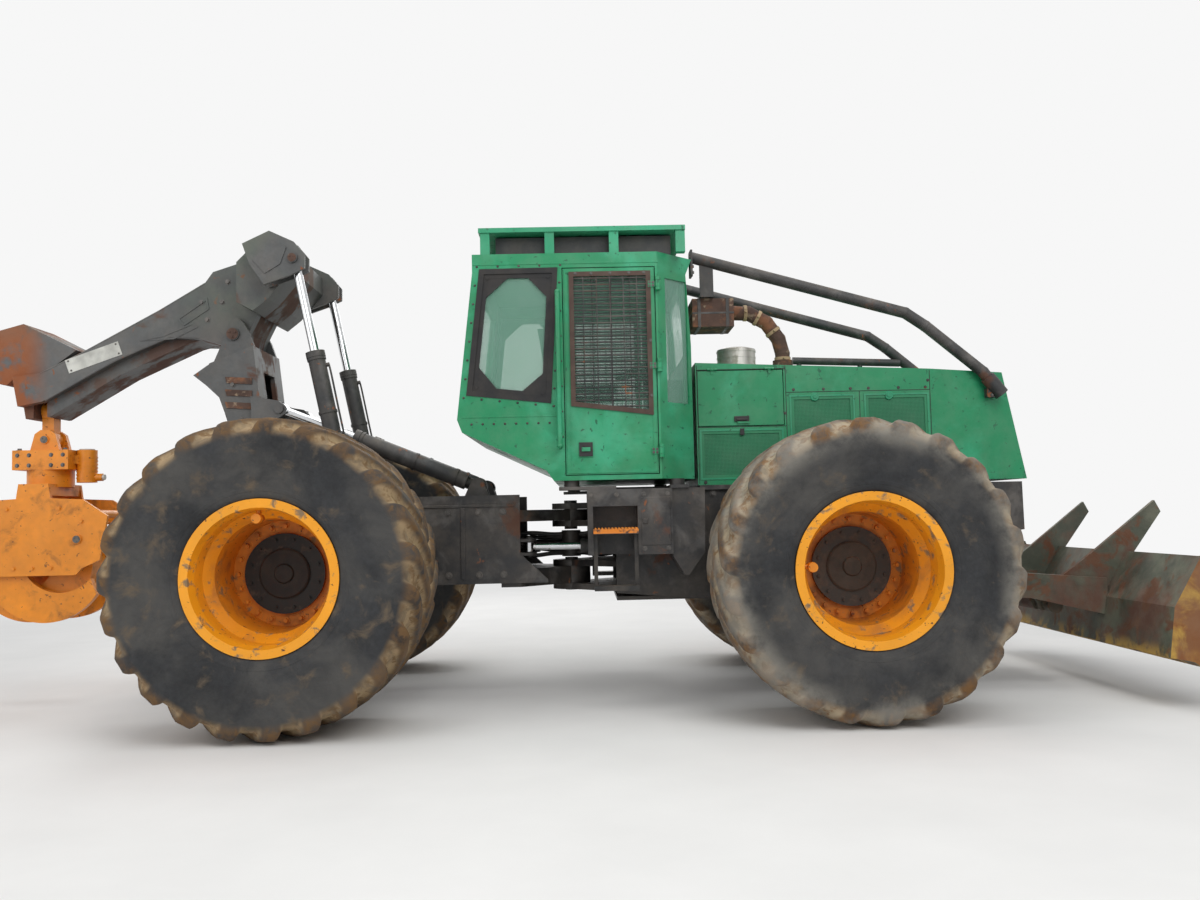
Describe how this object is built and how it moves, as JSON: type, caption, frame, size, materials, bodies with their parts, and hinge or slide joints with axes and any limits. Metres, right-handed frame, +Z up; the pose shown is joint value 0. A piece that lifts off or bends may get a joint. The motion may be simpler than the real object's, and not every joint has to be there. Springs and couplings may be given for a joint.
{
  "type": "grapple skidder",
  "caption": "Articulated grapple skidder with a guarded cab over a centre hinge, a front blade and a rear arch and boom that carry a turning log grapple.",
  "frame": {"origin": "on the ground below the middle of the overall box", "axes": "+X forward, +Y to the machine's left, +Z up"},
  "size_m": [8.025, 3.24, 3.125],
  "materials": {
    "green_paint": "worn satin",
    "dark_steel": "worn, rusty",
    "orange_paint": "worn satin",
    "tyre": "dry, muddy",
    "glass": "clear",
    "screen_mesh": "worn satin",
    "pale_green_paint": "satin",
    "rod_chrome": "polished",
    "bright_metal": "dull",
    "rusty_steel": "rusty",
    "seat_fabric": "matt",
    "dark_plastic": "matt",
    "engine_iron": "matt",
    "worn_blade": "worn, rusty"
  },
  "bodies": {
    "front_frame": {"front_frame": "dark_steel", "front_axle": "dark_steel", "engine_block": "engine_iron", "hood": "green_paint", "hood_screens": "screen_mesh", "grille": "dark_steel", "cab_shell": "green_paint", "cab_glass": "glass", "roof_guard": "pale_green_paint", "roof_unit": "dark_plastic", "seat": "seat_fabric", "controls": "dark_plastic", "limb_risers": "dark_steel", "exhaust": "rusty_steel", "air_precleaner": "bright_metal", "side_tanks": "dark_steel", "side_steps": "orange_paint"},
    "rear_frame": {"rear_frame": "dark_steel", "rear_axle": "dark_steel"},
    "wheel_front_right": {"tyre_front_right": "tyre", "rim_front_right": "orange_paint"},
    "wheel_front_left": {"tyre_front_left": "tyre", "rim_front_left": "orange_paint"},
    "wheel_rear_right": {"tyre_rear_right": "tyre", "rim_rear_right": "orange_paint"},
    "wheel_rear_left": {"tyre_rear_left": "tyre", "rim_rear_left": "orange_paint"},
    "door_right": {"door_right": "green_paint", "door_glass_right": "glass"},
    "lid_right": {"lid_right": "green_paint"},
    "door_left": {"door_left": "green_paint", "door_glass_left": "glass"},
    "lid_left": {"lid_left": "green_paint"},
    "blade": {"blade": "worn_blade"},
    "blade_barrels": {"blade_barrels": "dark_steel"},
    "blade_rods": {"blade_rods": "rod_chrome"},
    "steer_barrel_right": {"steer_barrel_right": "dark_steel"},
    "steer_rod_right": {"steer_rod_right": "rod_chrome"},
    "steer_barrel_left": {"steer_barrel_left": "dark_steel"},
    "steer_rod_left": {"steer_rod_left": "rod_chrome"},
    "arch": {"arch": "dark_steel"},
    "arch_barrels": {"arch_barrels": "dark_steel"},
    "arch_rods": {"arch_rods": "rod_chrome"},
    "boom": {"boom": "dark_steel"},
    "boom_barrels": {"boom_barrels": "dark_steel"},
    "boom_rods": {"boom_rods": "rod_chrome"},
    "crosshead": {"crosshead": "orange_paint"},
    "swivel_housing": {"swivel_housing": "orange_paint"},
    "grapple_head": {"grapple_head": "orange_paint"},
    "tong_twin": {"tong_twin": "orange_paint"},
    "tong_single": {"tong_single": "orange_paint"},
    "grapple_barrel": {"grapple_barrel": "dark_steel"},
    "grapple_rod": {"grapple_rod": "rod_chrome"}
  },
  "joints": [
    {"name": "steer", "type": "hinge", "parent": "front_frame", "child": "rear_frame", "pos_m": [0.1125, 0, 1], "axis": [0, 0, 1], "range_deg": [-45, 45]},
    {"name": "steer_barrel_left", "type": "hinge", "parent": "front_frame", "child": "steer_barrel_left", "pos_m": [0.7325, 0.27, 1], "axis": [0, 0, 1], "range_deg": [-14.4, 14.4]},
    {"name": "steer_rod_left", "type": "slide", "parent": "steer_barrel_left", "child": "steer_rod_left", "axis": [-0.9994, 0.0333, 0], "range_m": [-0.227, 0.227]},
    {"name": "steer_barrel_right", "type": "hinge", "parent": "front_frame", "child": "steer_barrel_right", "pos_m": [0.7325, -0.27, 1], "axis": [0, 0, 1], "range_deg": [-14.4, 14.4]},
    {"name": "steer_rod_right", "type": "slide", "parent": "steer_barrel_right", "child": "steer_rod_right", "axis": [-0.9994, -0.0333, 0], "range_m": [-0.227, 0.227]},
    {"name": "wheel_front_right", "type": "hinge", "parent": "front_frame", "child": "wheel_front_right", "pos_m": [1.8025, -1.23, 0.866], "axis": [0, 1, 0], "continuous": true},
    {"name": "wheel_front_left", "type": "hinge", "parent": "front_frame", "child": "wheel_front_left", "pos_m": [1.8025, 1.23, 0.866], "axis": [0, 1, 0], "continuous": true},
    {"name": "wheel_rear_right", "type": "hinge", "parent": "rear_frame", "child": "wheel_rear_right", "pos_m": [-1.5775, -1.23, 0.901], "axis": [0, 1, 0], "continuous": true},
    {"name": "wheel_rear_left", "type": "hinge", "parent": "rear_frame", "child": "wheel_rear_left", "pos_m": [-1.5775, 1.23, 0.901], "axis": [0, 1, 0], "continuous": true},
    {"name": "door_right", "type": "hinge", "parent": "front_frame", "child": "door_right", "pos_m": [0.7045, -0.82, 2.1], "axis": [0, 0, 1], "range_deg": [0, 110]},
    {"name": "door_left", "type": "hinge", "parent": "front_frame", "child": "door_left", "pos_m": [0.7045, 0.82, 2.1], "axis": [0, 0, -1], "range_deg": [0, 110]},
    {"name": "lid_right", "type": "hinge", "parent": "front_frame", "child": "lid_right", "pos_m": [1.2625, -0.489, 2.149], "axis": [-1, 0, 0], "range_deg": [0, 90]},
    {"name": "lid_left", "type": "hinge", "parent": "front_frame", "child": "lid_left", "pos_m": [1.2625, 0.489, 2.149], "axis": [1, 0, 0], "range_deg": [0, 90]},
    {"name": "blade", "type": "hinge", "parent": "front_frame", "child": "blade", "pos_m": [2.4625, 0, 0.72], "axis": [0, -1, 0], "range_deg": [-11, 12]},
    {"name": "blade_barrels", "type": "hinge", "parent": "front_frame", "child": "blade_barrels", "pos_m": [2.7325, 0, 1.18], "axis": [0, -1, 0], "range_deg": [-9.4, 10.2]},
    {"name": "blade_rods", "type": "slide", "parent": "blade_barrels", "child": "blade_rods", "axis": [0.6931, 0, -0.7208], "range_m": [-0.112, 0.103]},
    {"name": "arch", "type": "hinge", "parent": "rear_frame", "child": "arch", "pos_m": [-1.8375, 0, 1.2], "axis": [0, -1, 0], "range_deg": [-15, 28]},
    {"name": "arch_barrels", "type": "hinge", "parent": "rear_frame", "child": "arch_barrels", "pos_m": [-0.4975, 0, 1.415], "axis": [0, -1, 0], "range_deg": [-3.9, 6.8]},
    {"name": "arch_rods", "type": "slide", "parent": "arch_barrels", "child": "arch_rods", "axis": [-0.9243, 0, 0.3816], "range_m": [-0.18, 0.332]},
    {"name": "boom", "type": "hinge", "parent": "arch", "child": "boom", "pos_m": [-2.1575, 0, 2.49], "axis": [0, 1, 0], "range_deg": [-20, 25]},
    {"name": "boom_barrels", "type": "hinge", "parent": "arch", "child": "boom_barrels", "pos_m": [-1.3775, 0, 1.5], "axis": [0, 1, 0], "range_deg": [-4.8, 5.8]},
    {"name": "boom_rods", "type": "slide", "parent": "boom_barrels", "child": "boom_rods", "axis": [-0.204, 0, 0.979], "range_m": [-0.254, 0.204]},
    {"name": "crosshead", "type": "hinge", "parent": "boom", "child": "crosshead", "pos_m": [-3.5125, 0, 2.01], "axis": [1, 0, 0], "range_deg": [-30, 30]},
    {"name": "swivel", "type": "hinge", "parent": "crosshead", "child": "swivel_housing", "pos_m": [-3.5125, 0, 1.81], "axis": [0, -1, 0], "range_deg": [-45, 30]},
    {"name": "rotator", "type": "hinge", "parent": "swivel_housing", "child": "grapple_head", "pos_m": [-3.5125, 0, 1.56], "axis": [0, 0, 1], "continuous": true},
    {"name": "tong_twin", "type": "hinge", "parent": "grapple_head", "child": "tong_twin", "pos_m": [-3.8125, 0, 1.12], "axis": [0, 1, 0], "range_deg": [0, 65]},
    {"name": "tong_single", "type": "hinge", "parent": "grapple_head", "child": "tong_single", "pos_m": [-3.2125, 0, 1.12], "axis": [0, 1, 0], "range_deg": [-65, 0]},
    {"name": "grapple_barrel", "type": "hinge", "parent": "tong_twin", "child": "grapple_barrel", "pos_m": [-3.89028, 0, 1.19778], "axis": [0, 1, 0], "range_deg": [-65, 0]},
    {"name": "grapple_rod", "type": "slide", "parent": "grapple_barrel", "child": "grapple_rod", "axis": [1, 0, 0], "range_m": [-0.229, 0]}
  ],
  "couplings": [
    {"joint": "steer_barrel_left", "follows": "steer", "ratio": 0.30859},
    {"joint": "steer_rod_left", "follows": "steer", "m_per_rad": 0.28396},
    {"joint": "steer_barrel_right", "follows": "steer", "ratio": 0.30859},
    {"joint": "steer_rod_right", "follows": "steer", "m_per_rad": -0.28396},
    {"joint": "blade_barrels", "follows": "blade", "ratio": 0.80979},
    {"joint": "blade_rods", "follows": "blade", "m_per_rad": -0.51381},
    {"joint": "arch_barrels", "follows": "arch", "ratio": 0.22502},
    {"joint": "arch_rods", "follows": "arch", "m_per_rad": 0.67041},
    {"joint": "boom_barrels", "follows": "boom", "ratio": 0.21356},
    {"joint": "boom_rods", "follows": "boom", "m_per_rad": -0.57368},
    {"joint": "tong_single", "follows": "tong_twin", "ratio": -1},
    {"joint": "grapple_barrel", "follows": "tong_twin", "ratio": -1},
    {"joint": "grapple_rod", "follows": "tong_twin", "m_per_rad": -0.19824}
  ]
}
